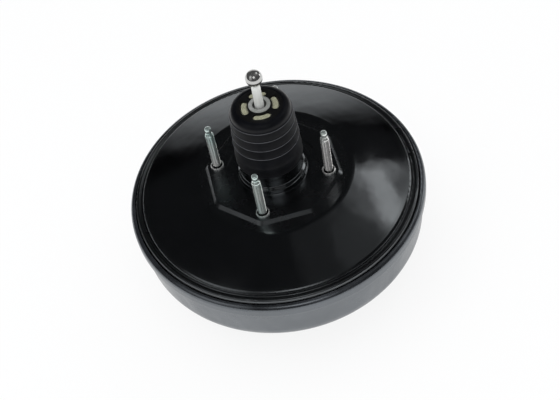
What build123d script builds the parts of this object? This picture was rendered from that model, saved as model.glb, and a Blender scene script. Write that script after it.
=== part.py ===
from build123d import *
import math
import os

# Vacuum brake booster with a single diaphragm, 11 inch class. All sizes are in millimetres.
# The origin is the centre of the bulkhead pad's face. +Z runs along the push rod to the pedal,
# and the four bulkhead studs stand on a square along X and Y.

os.makedirs("parts", exist_ok=True)

# Sheet and clearances
sheet_wall = 1.6
slide_gap = 0.06
seat_gap = 0.05
soft_gap = 0.3
spring_gap = 0.2
sharpest_bend = 0.2

# Bulkhead pad, a low octagon pressed out of the rear shell
stud_square = 75.0
pad_corner_r = 10.0
pad_rise = 3.0
pad_bevel_run = 3.2
pad_stud_land = 3.7
pad_step = 0.6
pad_step_land = 3.3
plateau_margin = 7.8
plateau_round = 20.0
plate_wall = 2.0
plate_inset = 3.0

# Neck of the rear shell
bearing_wall = 8.5
neck_height = 30.0
neck_foot_flare = 2.6
neck_foot_height = 5.4
neck_flare_round = 1.8
neck_foot_round = 1.2

# Cone and rim of the rear shell
rim_r = 140.7
lip_shoulder_round = 4.5
lip_flat = 0.4
bead_inset = 2.6
groove_inset = 6.6
cone_edge_inset = 9.0
cone_drop = 15.7
crown_rise = 1.0
crown_share = 0.75
groove_drop = 3.9
bead_rise = 3.1
flange_drop = 6.1
flange_fall = 1.2
flange_edge_gap = 0.9
flange_foot = 0.4
cone_edge_round = 3.6
groove_round = 1.2
bead_round = 2.0
flange_foot_round = 0.6

# Front shell
rim_band_height = 11.6
drum_step = 2.2
drum_step_height = 2.8
drum_step_round = 2.4
drum_draft = 3.4
drum_depth = 60.2
drum_corner_round = 21.0
valve_land = 30.0
boss_stud_land = 18.0
boss_rise = 8.0
boss_round = 5.0
cylinder_bore_r = 19.5
collar_height = 12.0
collar_round = 1.6

# Studs
stud_r = 4.0
shoulder_r = 6.25
shoulder_proud = 2.0
stud_length = 52.6
stud_head_r = 8.6
stud_head_height = 3.0
dog_length = 7.6
dog_r = 2.9
dog_neck_length = 2.0
dog_neck_r = 2.5
cylinder_stud_spacing = 80.0
cylinder_stud_length = 30.0

# Neck bearing and seal
bearing_height = 12.0
bearing_foot_height = 3.6
seal_height = 8.0
seal_groove = 2.4
retainer_wall = 1.4

# Valve body
tube_r = 19.0
tube_wall = 1.5
tube_end_z = 82.6
hub_r = 30.0
hub_top_z = -7.6
hub_front_z = -34.0
hub_flange_r = 36.0
hub_flange_height = 4.0
valve_floor_z = 5.0
plunger_bore_r = 8.2
valve_seat_r = 13.2
valve_seat_width = 2.0
vacuum_hole_r = 1.0
vacuum_hole_count = 6
pocket_count = 6
pocket_depth = 9.0
pocket_width = 6.0
reaction_r = 14.0
reaction_recess = 12.0
filter_rib_count = 4
filter_rib_width = 3.0
filter_rib_height = 2.0
filter_rib_length = 10.0

# Plunger and push rod
valve_travel = 1.8
stop_gap = 0.2
plunger_seat_r = 10.6
plunger_seat_height = 2.4
plunger_neck_r = 4.4
plunger_nose_r = 6.4
joint_ball_r = 4.4
joint_ball_z = 9.0
socket_wrap = 2.2
rod_neck_r = 2.9
rod_r = 4.0
rod_root_r = 4.2
rod_flare_r = 5.25
rod_flare_length = 21.0
rod_flare_cone = 2.0
pedal_ball_r = 7.5
pedal_ball_z = 118.0
pedal_neck_r = 3.4
pedal_neck_length = 3.0
pedal_taper_length = 9.0

# Stop key
key_wall = 2.2
key_width = 15.0
key_reach = 25.0
key_tail = 5.0

# Poppet valve, its sleeve and springs
poppet_face_wall = 3.0
poppet_bore_r = 7.6
poppet_side_gap = 0.9
poppet_sleeve_wall = 1.6
poppet_sleeve_height = 11.4
poppet_bead_height = 3.0
sleeve_height = 10.0
sleeve_wall = 1.4
poppet_wire = 1.2
poppet_coil_r = 12.0
poppet_turns = 5.0
rod_wire = 1.8
rod_spring_height = 18.0
rod_turns = 4.5
washer_wall = 1.4
washer_side_gap = 2.9

# Filter and inlet ring
filter_height = 17.0
filter_edge_gap = 0.2
inlet_bore_r = 6.3
inlet_ring_r = 9.85
inlet_ring_wall = 1.1
inlet_tube_r = 8.6
inlet_tube_wall = 0.9
inlet_clip_r = 9.6
inlet_clip_wall = 1.0

# Dust boot
boot_wall = 1.8
boot_top_z = 85.0
boot_top_wall = 2.0
boot_taper = 3.85
boot_shoulder_round = 6.0
boot_base_z = 21.5
boot_band_height = 14.0
boot_ridge_z = (46.0, 56.5, 67.0, 77.0)
boot_ridge_height = 0.7
boot_ridge_width = 1.6
window_mid_r = 14.3
window_width = 6.6
window_span = 41.0
window_turn = -26.5
window_count = 4

# Diaphragm, its plate and the return spring
press_wall = 1.5
press_slope_run = 38.0
press_edge_drop = 9.0
press_flat_round = 6.0
press_edge_round = 2.6
press_lip = 6.0
press_lip_flare = 1.5
rubber_wall = 1.6
fold_width = 16.9
fold_side_gap = 0.9
hub_bead_height = 3.4
hub_bead_r = 34.4
roll_drop = 19.0
roll_round = 6.5
rim_bead_height = 7.4
rim_bead_width = 6.0
return_wire = 3.8
return_coil_gap = 0.75
return_coil_high_r = 42.0
return_turns = 6.0

# Output rod, reaction disc, front seal
reaction_disc_height = 6.0
push_base_height = 3.6
push_rod_r = 6.0
push_screw_r = 3.6
push_screw_head_r = 4.6
push_screw_head_height = 5.0
push_tip_z = -76.5
keeper_r = 24.0
keeper_wall = 1.2
keeper_bore_r = 8.0
front_seal_height = 5.0
front_seal_skirt = 4.0
front_seal_wall = 1.8

# Check valve
grommet_r = 12.5
grommet_wall = 2.6
grommet_neck_r = 9.0
valve_stem_r = 6.5
valve_disc_r = 14.0
valve_disc_wall = 3.0
valve_body_r = 10.0
valve_body_height = 13.0
nipple_r = 4.9
nipple_bore_r = 3.0
nipple_length = 34.0
barb_rise = 0.9
barb_length = 5.0
barb_count = 2

# Places that follow from the sizes above
tube_bore_r = tube_r - tube_wall
neck_bore_r = tube_r + slide_gap + bearing_wall + seat_gap
neck_r = neck_bore_r + sheet_wall
stud_half = stud_square / 2
stud_circle_r = stud_half * math.sqrt(2)
pad_vertex_r = stud_circle_r + shoulder_r + pad_stud_land
pad_foot_r = pad_vertex_r + pad_bevel_run
pad_step_r = stud_circle_r - shoulder_r - pad_step_land
plateau_r = pad_foot_r + plateau_margin
plate_bore_r = pad_step_r + seat_gap
lip_edge_r = rim_r - lip_shoulder_round - lip_flat
cone_edge_r = lip_edge_r - cone_edge_inset
groove_r = lip_edge_r - groove_inset
bead_r = lip_edge_r - bead_inset
flange_r = rim_r - sheet_wall - flange_edge_gap
cone_edge_z = -pad_rise - cone_drop
cone_run = cone_edge_r - plateau_r
crown_round = crown_share * cone_run**2 / (4 * crown_rise)
groove_z = cone_edge_z - groove_drop
bead_z = groove_z + bead_rise
flange_z = bead_z - flange_drop
lip_z = flange_z + sheet_wall + seat_gap
rim_foot_z = lip_z - rim_band_height
drum_top_r = rim_r - drum_step
drum_low_r = drum_top_r - drum_draft
boss_r = cylinder_stud_spacing / 2 + boss_stud_land
boss_foot_r = drum_low_r - drum_corner_round - valve_land
check_valve_r = boss_foot_r + valve_land / 2
front_z = lip_z - drum_depth
boss_z = front_z - boss_rise
collar_r = cylinder_bore_r + sheet_wall
front_plate_z = boss_z + sheet_wall
spring_seat_z = front_plate_z + plate_wall
bearing_z = -pad_step
bearing_bore_r = tube_r + slide_gap
seal_z = bearing_z + bearing_height
seal_top_z = seal_z + seal_height
key_top_z = bearing_z - soft_gap
key_low_z = key_top_z - key_wall
groove_top_z = key_top_z + valve_travel + stop_gap
groove_low_z = key_low_z - stop_gap
plunger_seat_z = valve_floor_z + plunger_seat_height + valve_travel + 2 * stop_gap
reaction_z = hub_front_z + reaction_recess
plunger_end_z = reaction_z + valve_travel + soft_gap
poppet_face_r = tube_bore_r - poppet_side_gap
poppet_top_z = plunger_seat_z + poppet_sleeve_height + poppet_face_wall
sleeve_z = poppet_top_z
sleeve_top_z = sleeve_z + sleeve_height
washer_z = sleeve_top_z + rod_spring_height
flare_z = washer_z + washer_wall
washer_r = tube_bore_r - washer_side_gap
rod_coil_r = washer_r - washer_wall - rod_wire / 2 - soft_gap
sleeve_mouth_r = rod_coil_r - rod_wire / 2 - spring_gap
hub_shoulder_z = hub_top_z - hub_bead_height - rubber_wall - soft_gap - press_wall
press_top_z = hub_shoulder_z + press_wall
fold_outer_r = drum_low_r - sheet_wall - fold_side_gap
fold_inner_r = fold_outer_r - fold_width
press_edge_r = fold_inner_r - press_lip_flare - rubber_wall - 2 * soft_gap
press_flat_r = press_edge_r - press_slope_run
return_coil_low_r = collar_r + seat_gap + front_seal_wall + return_coil_gap + return_wire / 2
boot_r = neck_r + seat_gap + boot_wall
boot_top_r = boot_r - boot_taper
boot_under_z = boot_top_z - boot_top_wall


def turned(*points):
    """A solid turned about the main axis from a closed outline of (radius, height) points."""
    outline = make_face(Polyline(*points, close=True))
    return revolve(Plane.XZ * outline, Axis.Z)


def pressed(points, rounds, wall):
    """A sheet of even wall turned about the main axis. The points follow its outer face, and the
    wall lies to their right. Each bend keeps its wall: the inner round is smaller or larger by it."""
    normals = []
    for start, end in zip(points, points[1:]):
        length = math.dist(start, end)
        normals.append(((end[1] - start[1]) / length, (start[0] - end[0]) / length))
    inner = [(points[0][0] + normals[0][0] * wall, points[0][1] + normals[0][1] * wall)]
    inner_rounds = []
    for corner, (ax, ay), (bx, by), bend in zip(points[1:], normals, normals[1:], rounds):
        reach = wall / (1 + ax * bx + ay * by)
        inner.append((corner[0] + (ax + bx) * reach, corner[1] + (ay + by) * reach))
        turns_right = ax * by - ay * bx < 0
        inner_rounds.append(max(bend - wall, sharpest_bend) if turns_right else bend + wall)
    inner.append((points[-1][0] + normals[-1][0] * wall, points[-1][1] + normals[-1][1] * wall))
    outer_line = FilletPolyline(*points, radius=rounds)
    inner_line = FilletPolyline(*inner[::-1], radius=inner_rounds[::-1])
    ends = [Line(outer_line @ 1, inner_line @ 0), Line(inner_line @ 1, outer_line @ 0)]
    sheet = make_face([*outer_line.edges(), *inner_line.edges(), *ends])
    return revolve(Plane.XZ * sheet, Axis.Z)


def disc(radius, low, high):
    return Pos(0, 0, low) * extrude(Circle(radius), high - low)


def tube(outer, inner, low, high):
    return disc(outer, low, high) - disc(inner, low, high)


def octagon(vertex_r, corner_r):
    """A regular octagon with corners on the X and Y axes, its corners rounded."""
    shape = RegularPolygon(radius=vertex_r, side_count=8)
    return fillet(shape.vertices(), corner_r)


def at_studs(half_x, half_y):
    return [Pos(x, y, 0) for x in (-half_x, half_x) for y in (-half_y, half_y)]


def spring(wire, low_r, high_r, low_z, high_z, turns):
    """A coil spring between two seats, cylindrical or conical."""
    height = high_z - low_z - wire
    lean = math.degrees(math.atan2(high_r - low_r, height))
    path = Helix(height / turns, height, low_r, center=(0, 0, low_z + wire / 2), cone_angle=lean)
    start = Plane(origin=path @ 0, z_dir=path % 0)
    return sweep(start * Circle(wire / 2), path=path)


# Bulkhead pad: a shallow octagonal step with a sunk ring round the neck
def pad_form():
    foot = Pos(0, 0, -pad_rise - sheet_wall) * octagon(pad_foot_r, pad_corner_r)
    knee = Pos(0, 0, -pad_rise) * octagon(pad_foot_r, pad_corner_r)
    top = octagon(pad_vertex_r, pad_corner_r)
    form = extrude(foot, sheet_wall) + loft([knee.face(), top.face()], ruled=True)
    return form - disc(pad_step_r, -pad_step, sheet_wall)


# Rear shell: neck, pad, cone and the beaded rim that the front shell grips
def make_rear_shell():
    neck = pressed(
        [
            (neck_r, neck_height),
            (neck_r, neck_foot_height + neck_foot_flare * 0.6),
            (neck_r + neck_foot_flare, neck_foot_height - neck_foot_flare * 0.4),
            (neck_r + neck_foot_flare, -pad_step),
            (pad_step_r - sheet_wall, -pad_step),
        ],
        [neck_flare_round, neck_flare_round, neck_foot_round],
        sheet_wall,
    )
    cone = pressed(
        [
            (pad_vertex_r - pad_corner_r, -pad_rise),
            (plateau_r, -pad_rise),
            (plateau_r + cone_run / 2, -pad_rise - cone_drop / 2 + crown_rise),
            (cone_edge_r, cone_edge_z),
            (groove_r, groove_z),
            (bead_r, bead_z),
            (lip_edge_r - flange_foot, flange_z),
            (flange_r, flange_z - flange_fall),
        ],
        [plateau_round, crown_round, cone_edge_round, groove_round, bead_round, flange_foot_round],
        sheet_wall,
    )
    solid_pad = pad_form()
    hollow = Pos(0, 0, -sheet_wall) * solid_pad
    pad = solid_pad - hollow - disc(pad_step_r - 2 * sheet_wall, -pad_rise * 2, pad_rise)
    shell = neck + (cone - hollow) + pad
    for place in at_studs(stud_half, stud_half):
        shell -= place * disc(shoulder_r + seat_gap, -pad_rise, pad_rise)
    return shell


# Front shell: crimped lip, rim band, tapered drum, and the boss that takes the master cylinder
def make_front_shell():
    shell = pressed(
        [
            (lip_edge_r, lip_z),
            (rim_r, lip_z),
            (rim_r, rim_foot_z),
            (drum_top_r, rim_foot_z - drum_step_height),
            (drum_low_r, front_z),
            (boss_foot_r, front_z),
            (boss_r, boss_z),
            (cylinder_bore_r, boss_z),
            (cylinder_bore_r, boss_z + collar_height),
        ],
        [
            lip_shoulder_round,
            drum_step_round,
            drum_step_round,
            drum_corner_round,
            boss_round,
            boss_round,
            collar_round,
        ],
        sheet_wall,
    )
    for place in at_studs(cylinder_stud_spacing / 2, 0):
        shell -= place * disc(shoulder_r + seat_gap, boss_z - 1, front_plate_z + 1)
    grommet_hole = disc(grommet_neck_r + seat_gap, front_z - 1, front_z + sheet_wall + 1)
    return shell - Pos(0, check_valve_r, 0) * grommet_hole


# A pressed-in stud: head inside, shoulder through plate and shell, shank, dog point
def make_stud(face_z, way, length):
    root = -sheet_wall - plate_wall
    shank_end = length - dog_length
    dog_start = shank_end + dog_neck_length
    rows = [
        (0, root - stud_head_height),
        (stud_head_r, root - stud_head_height),
        (stud_head_r, root),
        (shoulder_r, root),
        (shoulder_r, shoulder_proud - 0.4),
        (shoulder_r - 0.4, shoulder_proud),
        (stud_r, shoulder_proud),
        (stud_r, shank_end - 0.8),
        (dog_neck_r, shank_end),
        (dog_neck_r, dog_start),
        (dog_r, dog_start + 0.6),
        (dog_r, length - 1.0),
        (dog_r - 1.0, length),
        (0, length),
    ]
    return turned(*[(r, face_z + way * z) for r, z in rows])


def make_rear_plate():
    plate = extrude(octagon(pad_vertex_r - plate_inset, pad_corner_r), -plate_wall)
    plate = Pos(0, 0, -sheet_wall) * plate - disc(plate_bore_r, -pad_rise * 3, pad_rise)
    for place in at_studs(stud_half, stud_half):
        plate -= place * disc(shoulder_r + seat_gap, -pad_rise * 3, pad_rise)
    return plate


def make_front_plate():
    plate = tube(boss_r - 2 * sheet_wall, collar_r + 1.6, front_plate_z, spring_seat_z)
    for place in at_studs(cylinder_stud_spacing / 2, 0):
        plate -= place * disc(shoulder_r + seat_gap, boss_z, spring_seat_z + 1)
    return plate


# Guide bush in the neck, with a foot that seats in the neck's flare
def make_neck_bearing():
    outer_r = neck_bore_r - seat_gap
    foot_r = outer_r + neck_foot_flare
    return turned(
        (bearing_bore_r, bearing_z),
        (foot_r, bearing_z),
        (foot_r, bearing_z + bearing_foot_height - 0.8),
        (outer_r, bearing_z + bearing_foot_height + neck_foot_flare - 0.8),
        (outer_r, seal_z),
        (bearing_bore_r, seal_z),
    )


# Lip seal on the valve body's tube
def make_neck_seal():
    outer_r = neck_bore_r - seat_gap
    mid_r = (outer_r + bearing_bore_r) / 2
    return turned(
        (bearing_bore_r, seal_z),
        (outer_r, seal_z),
        (outer_r, seal_top_z),
        (mid_r + seal_groove / 2, seal_top_z),
        (mid_r, seal_z + seal_height * 0.45),
        (mid_r - seal_groove / 2, seal_top_z),
        (bearing_bore_r, seal_top_z),
    )


def make_seal_retainer():
    outer_r = neck_bore_r - seat_gap
    skirt_top = seal_top_z + retainer_wall * 3
    return turned(
        (bearing_bore_r + 0.6, seal_top_z),
        (outer_r, seal_top_z),
        (outer_r, skirt_top),
        (outer_r - retainer_wall, skirt_top),
        (outer_r - retainer_wall, seal_top_z + retainer_wall),
        (bearing_bore_r + 0.6, seal_top_z + retainer_wall),
    )


# Dust boot: grip band, four rolled ridges, round shoulder, flat top with inlet windows
def make_dust_boot():
    band_top = boot_base_z + boot_band_height
    body_r = boot_r - 0.6
    slope = (boot_top_r - body_r) / (boot_top_z - band_top)
    outer = [
        (boot_r, boot_base_z),
        (boot_r, band_top - 2.0),
        (body_r, band_top),
        (boot_top_r, boot_top_z),
        (inlet_tube_r + soft_gap, boot_top_z),
    ]
    inner_r = body_r - boot_wall
    inner = [
        (inlet_tube_r + soft_gap, boot_under_z),
        (boot_top_r - boot_wall - boot_shoulder_round / 2, boot_under_z),
        (boot_top_r - boot_wall, boot_under_z - boot_shoulder_round / 2),
        (inner_r, max(band_top, neck_height + soft_gap) + 2.0),
        (neck_r + seat_gap, neck_height),
        (neck_r + seat_gap, boot_base_z),
    ]
    boot = turned(*(outer + inner))
    rim = boot.edges().filter_by(GeomType.CIRCLE).group_by(Axis.Z)[-1].sort_by(SortBy.RADIUS)[-1]
    boot = fillet(rim, boot_shoulder_round)
    for ridge_z in boot_ridge_z:
        ridge_r = body_r + slope * (ridge_z - band_top)
        half = boot_ridge_width / 2
        boot += turned(
            (ridge_r - boot_wall / 2, ridge_z - half * 2),
            (ridge_r - slope * half, ridge_z - half * 2),
            (ridge_r + boot_ridge_height, ridge_z - half / 2),
            (ridge_r + boot_ridge_height, ridge_z + half / 2),
            (ridge_r, ridge_z + half),
            (ridge_r - boot_wall / 2, ridge_z + half),
        )
    window = SlotArc(CenterArc((0, 0), window_mid_r, -window_span / 2, window_span), window_width)
    cut = Pos(0, 0, boot_under_z - 1) * extrude(window, boot_top_wall + 2)
    for index in range(window_count):
        boot -= Rot(0, 0, window_turn + index * 360 / window_count) * cut
    return boot


# Valve body: long tube to the pedal side, hub with the seat, key slot and spring pockets
def make_valve_body():
    body = turned(
        (tube_bore_r, tube_end_z),
        (tube_r, tube_end_z),
        (tube_r, hub_top_z + 2.0),
        (tube_r + 2.0, hub_top_z),
        (hub_r, hub_top_z),
        (hub_r, hub_shoulder_z),
        (hub_flange_r, hub_shoulder_z),
        (hub_flange_r, hub_shoulder_z - hub_flange_height),
        (hub_r, hub_shoulder_z - hub_flange_height),
        (hub_r, hub_front_z),
        (reaction_r + seat_gap, hub_front_z),
        (reaction_r + seat_gap, reaction_z),
        (plunger_bore_r, reaction_z),
        (plunger_bore_r, valve_floor_z),
        (valve_seat_r - valve_seat_width, valve_floor_z),
        (valve_seat_r - valve_seat_width, plunger_seat_z - soft_gap - 0.6),
        (valve_seat_r - valve_seat_width / 2, plunger_seat_z - soft_gap),
        (valve_seat_r, plunger_seat_z - soft_gap - 0.6),
        (valve_seat_r, valve_floor_z),
        (tube_bore_r, valve_floor_z),
    )
    slot_low = key_low_z - seat_gap
    slot_high = key_top_z + seat_gap
    slot_half = key_width / 2 + slide_gap * 2
    slot_tail = -key_tail - slide_gap * 2
    slot_reach = tube_r + 2.0
    slot = Box(slot_reach - slot_tail, 2 * slot_half, slot_high - slot_low)
    body -= Pos((slot_reach + slot_tail) / 2, 0, (slot_low + slot_high) / 2) * slot
    hole_circle_r = (valve_seat_r + tube_bore_r) / 2
    for index in range(vacuum_hole_count):
        turn = Rot(0, 0, (index + 0.5) * 360 / vacuum_hole_count)
        hole = Pos(hole_circle_r, 0, 0) * disc(vacuum_hole_r, hub_front_z - 1, valve_floor_z + 1)
        body -= turn * hole
    pocket_r = (reaction_r + hub_r) / 2 + 2.4
    for index in range(pocket_count):
        turn = Rot(0, 0, index * 360 / pocket_count)
        mouth = Pos(pocket_r, 0, hub_front_z) * SlotOverall(pocket_width * 2, pocket_width, rotation=90)
        body -= turn * extrude(mouth, pocket_depth)
    rib_top = boot_under_z - filter_height - filter_edge_gap
    rib_depth = filter_rib_height + (tube_r - tube_bore_r) / 2
    rib = Box(rib_depth, filter_rib_width, filter_rib_length)
    rib_mid_r = tube_bore_r - filter_rib_height + rib_depth / 2
    for index in range(filter_rib_count):
        turn = Rot(0, 0, index * 360 / filter_rib_count)
        body += turn * Pos(rib_mid_r, 0, rib_top - filter_rib_length / 2) * rib
    return body


# Stop key: a flat fork pushed in from the side, which holds the plunger and meets the neck bush
def make_stop_key():
    fork = plunger_neck_r + slide_gap * 3
    length = key_reach + key_tail
    blank = Pos((key_reach - key_tail) / 2, 0) * Rectangle(length, key_width)
    blank -= Pos(-key_tail / 2, 0) * Rectangle(key_tail, 2 * fork)
    blank -= Circle(fork)
    outer = blank.vertices().group_by(Axis.X)[-1]
    blank = fillet(outer, 3.0)
    return Pos(0, 0, key_low_z) * extrude(blank, key_wall)


# Plunger, the air valve, with the socket that holds the push rod's ball
def make_plunger():
    skin_r = plunger_bore_r - slide_gap
    plunger = turned(
        (0, plunger_end_z),
        (skin_r - 0.8, plunger_end_z),
        (skin_r, plunger_end_z + 0.8),
        (skin_r, groove_low_z),
        (plunger_neck_r, groove_low_z),
        (plunger_neck_r, groove_top_z),
        (skin_r, groove_top_z),
        (skin_r, plunger_seat_z - plunger_seat_height),
        (plunger_seat_r, plunger_seat_z - plunger_seat_height),
        (plunger_seat_r, plunger_seat_z),
        (plunger_seat_r - 1.6, plunger_seat_z),
        (plunger_seat_r - 2.0, plunger_seat_z - 0.4),
        (plunger_nose_r, plunger_seat_z - 0.4),
        (plunger_nose_r, joint_ball_z + socket_wrap),
        (0, joint_ball_z + socket_wrap),
    )
    return plunger - Pos(0, 0, joint_ball_z) * Sphere(joint_ball_r + slide_gap)


# Push rod: joint ball, shank with a flare for the spring washer, taper and pedal ball
def make_input_rod():
    flare_top = flare_z + rod_flare_length
    taper_z = pedal_ball_z - pedal_neck_length - pedal_taper_length
    shank = turned(
        (0, joint_ball_z),
        (rod_neck_r, joint_ball_z),
        (rod_neck_r, joint_ball_z + socket_wrap + 2.4),
        (rod_root_r, joint_ball_z + socket_wrap + 4.4),
        (rod_root_r, flare_z),
        (rod_flare_r, flare_z),
        (rod_flare_r, flare_top),
        (rod_root_r, flare_top + rod_flare_cone),
        (rod_r, taper_z),
        (pedal_neck_r, pedal_ball_z - pedal_neck_length - pedal_ball_r * 0.7),
        (pedal_neck_r, pedal_ball_z),
        (0, pedal_ball_z),
    )
    joint_ball = Pos(0, 0, joint_ball_z) * Sphere(joint_ball_r)
    return shank + joint_ball + Pos(0, 0, pedal_ball_z) * Sphere(pedal_ball_r)


def make_spring_washer():
    return turned(
        (rod_root_r + seat_gap, washer_z),
        (washer_r - washer_wall, washer_z),
        (washer_r - washer_wall, washer_z - 2.0),
        (washer_r, washer_z - 2.0),
        (washer_r, flare_z),
        (rod_root_r + seat_gap, flare_z),
    )


# Poppet: a rubber ring face on a thin sleeve, with a bead that the steel sleeve clamps
def make_poppet():
    sleeve_r = poppet_face_r - 0.2
    bead_z = poppet_top_z - poppet_bead_height
    bead_r_out = tube_bore_r - seat_gap
    face_top = plunger_seat_z + poppet_face_wall
    return turned(
        (poppet_bore_r, plunger_seat_z),
        (poppet_face_r, plunger_seat_z),
        (sleeve_r, face_top),
        (sleeve_r, bead_z),
        (bead_r_out, bead_z),
        (bead_r_out, poppet_top_z),
        (sleeve_r - poppet_sleeve_wall, poppet_top_z),
        (sleeve_r - poppet_sleeve_wall, face_top),
        (poppet_bore_r, face_top),
    )


def make_poppet_sleeve():
    outer_r = tube_bore_r - seat_gap
    return turned(
        (outer_r - sleeve_wall, sleeve_z),
        (outer_r, sleeve_z),
        (outer_r, sleeve_top_z),
        (sleeve_mouth_r, sleeve_top_z),
        (sleeve_mouth_r, sleeve_top_z - sleeve_wall),
        (outer_r - sleeve_wall, sleeve_top_z - sleeve_wall),
    )


def make_air_filter():
    low = boot_under_z - filter_edge_gap - filter_height
    return tube(tube_bore_r - filter_edge_gap, inlet_tube_r + seat_gap, low, low + filter_height)


# Inlet ring: the pale collar in the boot's top, with a tube inside the filter
def make_inlet_ring():
    low = boot_under_z - filter_edge_gap - filter_height
    top = boot_top_z + soft_gap + inlet_ring_wall
    return turned(
        (inlet_tube_r - inlet_tube_wall, low),
        (inlet_tube_r, low),
        (inlet_tube_r, boot_top_z + soft_gap),
        (inlet_ring_r, boot_top_z + soft_gap),
        (inlet_ring_r, top - 0.5),
        (inlet_ring_r - 0.5, top),
        (inlet_bore_r + 0.3, top),
        (inlet_bore_r, top - 0.3),
        (inlet_bore_r, boot_top_z),
        (inlet_tube_r - inlet_tube_wall, boot_top_z - 1.5),
    )


# Pressed steel plate that carries the diaphragm
def make_diaphragm_plate():
    return pressed(
        [
            (hub_r + seat_gap, press_top_z),
            (press_flat_r, press_top_z),
            (press_edge_r, press_top_z - press_edge_drop),
            (press_edge_r + press_lip_flare, press_top_z - press_edge_drop - press_lip),
        ],
        [press_flat_round, press_edge_round],
        press_wall,
    )


# Diaphragm: hub bead, web on the plate, rolling fold, and the bead clamped in the rim
def make_diaphragm():
    web_z = press_top_z + soft_gap + rubber_wall
    fold_z = web_z - press_edge_drop - roll_drop
    bead_top = flange_z - sheet_wall - seat_gap
    bead_low = bead_top - rim_bead_height
    bead_out = rim_r - sheet_wall - soft_gap
    bead_in = bead_out - rim_bead_width
    web = pressed(
        [
            (hub_r + soft_gap, web_z),
            (press_flat_r, web_z),
            (fold_inner_r, web_z - press_edge_drop),
            (fold_inner_r, fold_z),
            (fold_outer_r, fold_z),
            (fold_outer_r, bead_top - rim_bead_height / 2),
        ],
        [press_flat_round + rubber_wall, press_edge_round + 0.6, roll_round, roll_round],
        rubber_wall,
    )
    hub_bead = tube(hub_bead_r, hub_r + soft_gap, web_z - rubber_wall, web_z + hub_bead_height - 1.0)
    rim_bead = turned(
        (bead_in, bead_low),
        (bead_in, bead_top),
        (lip_edge_r - flange_foot - sheet_wall, bead_top),
        (flange_r - sheet_wall / 2, bead_top - flange_fall - 0.2),
        (bead_out, bead_top - flange_fall - 0.2),
        (bead_out, bead_low),
    )
    return web + hub_bead + rim_bead


def make_output_rod():
    base_z = reaction_z - reaction_disc_height
    rod_end = push_tip_z + push_screw_head_height + 3.0
    return turned(
        (0, base_z),
        (reaction_r - seat_gap, base_z),
        (reaction_r - seat_gap, base_z - push_base_height),
        (push_rod_r + 3.0, base_z - push_base_height),
        (push_rod_r, base_z - push_base_height - 3.0),
        (push_rod_r, rod_end),
        (push_screw_r, rod_end),
        (push_screw_r, push_tip_z + push_screw_head_height),
        (push_screw_head_r, push_tip_z + push_screw_head_height),
        (push_screw_head_r, push_tip_z + 1.8),
        (push_screw_head_r - 1.8, push_tip_z),
        (0, push_tip_z),
    )


# Keeper: a thin steel dish that holds the output rod's base in the hub
def make_rod_keeper():
    keeper = turned(
        (keeper_bore_r, hub_front_z - keeper_wall - 1.4),
        (keeper_bore_r + keeper_wall, hub_front_z - keeper_wall - 1.4),
        (keeper_bore_r + keeper_wall, hub_front_z - keeper_wall),
        (keeper_r, hub_front_z - keeper_wall),
        (keeper_r, hub_front_z),
        (keeper_bore_r, hub_front_z),
    )
    hole_circle_r = (valve_seat_r + tube_bore_r) / 2
    for index in range(vacuum_hole_count):
        turn = Rot(0, 0, (index + 0.5) * 360 / vacuum_hole_count)
        hole = disc(vacuum_hole_r + 0.4, hub_front_z - keeper_wall - 1, hub_front_z + 1)
        keeper -= turn * Pos(hole_circle_r, 0, 0) * hole
    return keeper


# Front seal: a rubber cap on the collar, with a lip that wipes the output rod
def make_front_seal():
    collar_z = boss_z + collar_height
    skirt_r = collar_r + seat_gap + front_seal_wall
    return turned(
        (push_rod_r + slide_gap, collar_z + front_seal_height),
        (push_rod_r + 2.4, collar_z + front_seal_height),
        (push_rod_r + 4.4, collar_z + front_seal_height * 0.6),
        (skirt_r, collar_z + front_seal_height * 0.6),
        (skirt_r, collar_z - front_seal_skirt),
        (collar_r + seat_gap, collar_z - front_seal_skirt),
        (collar_r + seat_gap, collar_z),
        (push_rod_r + slide_gap, collar_z),
    )


def make_grommet():
    hole_r = grommet_neck_r
    top = front_z + sheet_wall + seat_gap
    low = front_z - seat_gap
    grommet = turned(
        (valve_stem_r, top + grommet_wall),
        (grommet_r - 1.6, top + grommet_wall),
        (grommet_r, top),
        (hole_r, top),
        (hole_r, low),
        (grommet_r, low),
        (grommet_r, low - grommet_wall),
        (valve_stem_r, low - grommet_wall),
    )
    return Pos(0, check_valve_r, 0) * grommet


# Check valve: a plastic stem and chamber with a barbed hose nipple to the side
def make_check_valve():
    stem_top = front_z + sheet_wall + 2 * grommet_wall
    disc_z = front_z - seat_gap - grommet_wall
    body_z = disc_z - valve_disc_wall
    end_z = body_z - valve_body_height
    valve = turned(
        (nipple_bore_r, stem_top),
        (valve_stem_r - seat_gap, stem_top),
        (valve_stem_r - seat_gap, disc_z),
        (valve_disc_r, disc_z),
        (valve_disc_r, body_z),
        (valve_body_r, body_z),
        (valve_body_r, end_z + 1.5),
        (valve_body_r - 1.5, end_z),
        (0, end_z),
        (0, end_z + 3.0),
        (nipple_bore_r, end_z + 3.0),
    )
    nipple_z = body_z - valve_body_height / 2
    barbs_start = nipple_length - barb_count * barb_length
    rows = [(nipple_bore_r, valve_body_r - 3.0), (nipple_r, valve_body_r - 3.0), (nipple_r, barbs_start)]
    for index in range(barb_count):
        barb_start = barbs_start + index * barb_length
        rows += [(nipple_r + barb_rise, barb_start), (nipple_r, barb_start + barb_length)]
    rows += [(nipple_bore_r, nipple_length)]
    side = Pos(0, 0, nipple_z) * Rot(-90, 0, 0)
    valve += side * turned(*rows)
    valve -= side * disc(nipple_bore_r, 0, nipple_length)
    return Pos(0, check_valve_r, 0) * valve


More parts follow.
